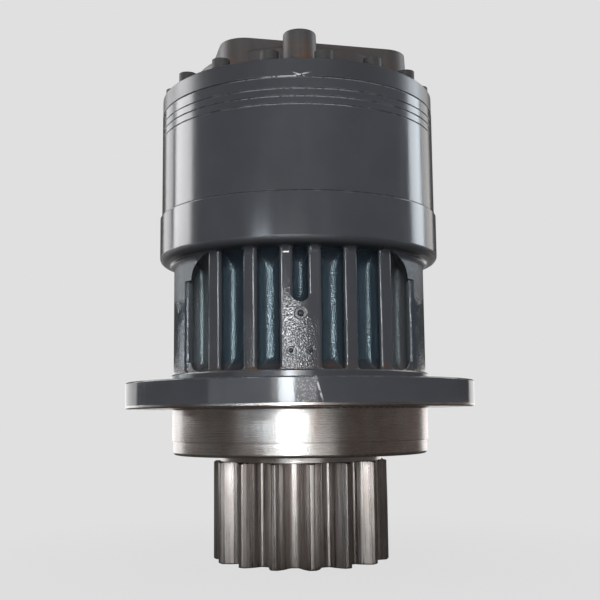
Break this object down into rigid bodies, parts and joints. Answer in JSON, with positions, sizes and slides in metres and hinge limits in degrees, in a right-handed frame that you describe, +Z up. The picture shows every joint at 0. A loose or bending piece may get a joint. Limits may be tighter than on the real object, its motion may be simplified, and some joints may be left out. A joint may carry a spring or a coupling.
{
  "type": "swing gearbox",
  "caption": "Two-stage planetary slewing reducer: ribbed flanged housing, ring gear case and motor pad above, stub-tooth pinion below.",
  "frame": {"origin": "centre of the flange's mounting face, on the shaft axis", "axes": "+Z up the shaft axis towards the motor pad, -Y to the front with the centre plate, +X to the right seen from the front"},
  "size_m": [0.49, 0.4898, 0.703],
  "materials": {
    "grey_paint": "semi-gloss slate grey machine paint, sandy on the casting",
    "gear_steel": "hardened gear steel, ground",
    "carrier_steel": "machined steel",
    "collar_steel": "polished steel",
    "pin_steel": "ground steel",
    "bearing_steel": "ground bearing steel",
    "roller_steel": "polished rollers",
    "cage_steel": "pressed steel sheet",
    "black_screws": "black oxide",
    "seal_rubber": "moulded rubber",
    "plug_paint": "painted over with the casting",
    "rivet_steel": "dull steel",
    "plug_steel": "phosphated steel",
    "bronze": "bearing bronze"
  },
  "bodies": {
    "gear_case": {"housing": "grey_paint", "ring_gear": "grey_paint", "top_cover": "grey_paint", "case_screws": "black_screws", "case_dowels": "pin_steel", "lower_case_seal": "seal_rubber", "upper_case_seal": "seal_rubber", "plate_plug": "plug_paint", "plate_rivets": "rivet_steel", "drain_plug": "plug_steel", "fill_plug": "plug_steel", "lower_bearing_cup": "bearing_steel", "upper_bearing_cup": "bearing_steel", "oil_seal": "seal_rubber"},
    "output_shaft": {"pinion_shaft": "gear_steel", "seal_collar": "collar_steel", "lower_bearing_cone": "bearing_steel", "upper_bearing_cone": "bearing_steel", "lock_washer": "cage_steel", "bearing_nut": "carrier_steel", "end_plate": "carrier_steel", "end_plate_screws": "black_screws", "carrier_2": "carrier_steel", "planet_2_pins": "pin_steel", "planet_2_washers": "bronze", "sun_2_thrust_washer": "bronze"},
    "lower_roller_row": {"lower_bearing_rollers": "roller_steel", "lower_bearing_cage": "cage_steel"},
    "upper_roller_row": {"upper_bearing_rollers": "roller_steel", "upper_bearing_cage": "cage_steel"},
    "second_stage_planet_a": {"planet_2_a": "gear_steel", "planet_2_a_needles": "roller_steel"},
    "second_stage_planet_b": {"planet_2_b": "gear_steel", "planet_2_b_needles": "roller_steel"},
    "second_stage_planet_c": {"planet_2_c": "gear_steel", "planet_2_c_needles": "roller_steel"},
    "first_stage_carrier": {"carrier_1": "carrier_steel", "sun_2": "gear_steel", "planet_1_pins": "pin_steel", "planet_1_washers": "bronze", "sun_1_thrust_washer": "bronze"},
    "first_stage_planet_a": {"planet_1_a": "gear_steel", "planet_1_a_needles": "roller_steel"},
    "first_stage_planet_b": {"planet_1_b": "gear_steel", "planet_1_b_needles": "roller_steel"},
    "first_stage_planet_c": {"planet_1_c": "gear_steel", "planet_1_c_needles": "roller_steel"},
    "input_sun": {"sun_1": "gear_steel"}
  },
  "joints": [
    {"name": "pinion_spin", "type": "hinge", "parent": "gear_case", "child": "output_shaft", "pos_m": [0, 0, 0], "axis": [0, 0, 1], "continuous": true},
    {"name": "lower_rollers_roll", "type": "hinge", "parent": "gear_case", "child": "lower_roller_row", "pos_m": [0, 0, 0], "axis": [0, 0, 1], "continuous": true},
    {"name": "upper_rollers_roll", "type": "hinge", "parent": "gear_case", "child": "upper_roller_row", "pos_m": [0, 0, 0], "axis": [0, 0, 1], "continuous": true},
    {"name": "second_stage_planet_a_spin", "type": "hinge", "parent": "output_shaft", "child": "second_stage_planet_a", "pos_m": [0.0975, 0, 0], "axis": [0, 0, 1], "continuous": true},
    {"name": "second_stage_planet_b_spin", "type": "hinge", "parent": "output_shaft", "child": "second_stage_planet_b", "pos_m": [-0.04875, 0.08444, 0], "axis": [0, 0, 1], "continuous": true},
    {"name": "second_stage_planet_c_spin", "type": "hinge", "parent": "output_shaft", "child": "second_stage_planet_c", "pos_m": [-0.04875, -0.08444, 0], "axis": [0, 0, 1], "continuous": true},
    {"name": "first_stage_carrier_spin", "type": "hinge", "parent": "gear_case", "child": "first_stage_carrier", "pos_m": [0, 0, 0], "axis": [0, 0, 1], "continuous": true},
    {"name": "first_stage_planet_a_spin", "type": "hinge", "parent": "first_stage_carrier", "child": "first_stage_planet_a", "pos_m": [0.04875, 0.08444, 0], "axis": [0, 0, 1], "continuous": true},
    {"name": "first_stage_planet_b_spin", "type": "hinge", "parent": "first_stage_carrier", "child": "first_stage_planet_b", "pos_m": [-0.0975, 0, 0], "axis": [0, 0, 1], "continuous": true},
    {"name": "first_stage_planet_c_spin", "type": "hinge", "parent": "first_stage_carrier", "child": "first_stage_planet_c", "pos_m": [0.04875, -0.08444, 0], "axis": [0, 0, 1], "continuous": true},
    {"name": "input_sun_spin", "type": "hinge", "parent": "gear_case", "child": "input_sun", "pos_m": [0, 0, 0], "axis": [0, 0, 1], "continuous": true}
  ],
  "couplings": [
    {"joint": "lower_rollers_roll", "follows": "pinion_spin", "ratio": 0.42747},
    {"joint": "upper_rollers_roll", "follows": "pinion_spin", "ratio": 0.42949},
    {"joint": "second_stage_planet_a_spin", "follows": "pinion_spin", "ratio": -2.8571},
    {"joint": "second_stage_planet_b_spin", "follows": "pinion_spin", "ratio": -2.8571},
    {"joint": "second_stage_planet_c_spin", "follows": "pinion_spin", "ratio": -2.8571},
    {"joint": "first_stage_carrier_spin", "follows": "pinion_spin", "ratio": 4.3333},
    {"joint": "first_stage_planet_a_spin", "follows": "pinion_spin", "ratio": -12.381},
    {"joint": "first_stage_planet_b_spin", "follows": "pinion_spin", "ratio": -12.381},
    {"joint": "first_stage_planet_c_spin", "follows": "pinion_spin", "ratio": -12.381},
    {"joint": "input_sun_spin", "follows": "pinion_spin", "ratio": 18.778}
  ]
}
